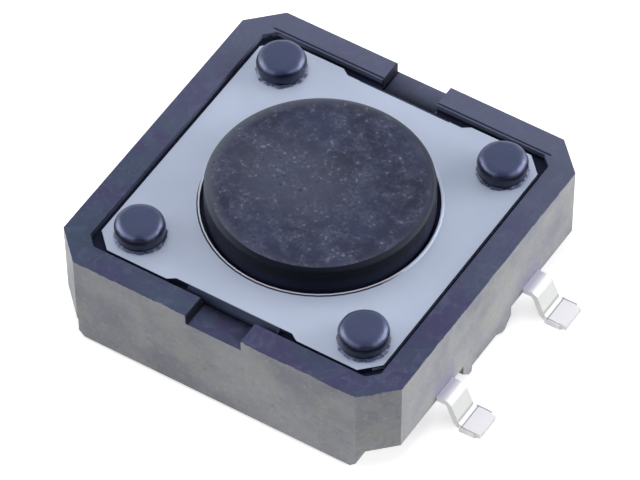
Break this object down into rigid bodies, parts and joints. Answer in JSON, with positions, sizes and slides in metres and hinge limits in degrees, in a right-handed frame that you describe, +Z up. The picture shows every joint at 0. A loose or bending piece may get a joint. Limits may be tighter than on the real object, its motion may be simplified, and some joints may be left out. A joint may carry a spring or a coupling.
{
  "type": "tactile push button switch",
  "caption": "Square surface-mount tactile push button: a round button that clicks down through a steel cover, staked to a moulded housing with gull-wing solder legs.",
  "frame": {"origin": "middle of the switch on the board, level with the soles of the four solder feet", "axes": "+Z up, out of the board; the legs leave along +X and -X; +Y along the side that carries no legs"},
  "size_m": [0.015, 0.012, 0.0043],
  "materials": {
    "housing_plastic": "moulded, matt, with pale scuffed walls",
    "cover_steel": "stamped stainless sheet, satin",
    "button_plastic": "moulded, fine matt spark texture",
    "film": "thin clear amber film",
    "dome_steel": "spring steel, smooth",
    "plated_contact": "bright silver-white plating over copper alloy"
  },
  "bodies": {
    "base": {"housing": "housing_plastic", "cover_plate": "cover_steel", "dome_film": "film", "contact_dome": "dome_steel", "outer_contact_strip": "plated_contact", "centre_contact_strip": "plated_contact"},
    "button": {"button": "button_plastic"}
  },
  "joints": [
    {"name": "button_press", "type": "slide", "parent": "base", "child": "button", "axis": [0, 0, -1], "range_m": [0, 0.0003], "stiffness_N_per_m": 5300, "deforming": ["contact_dome", "dome_film"]}
  ]
}
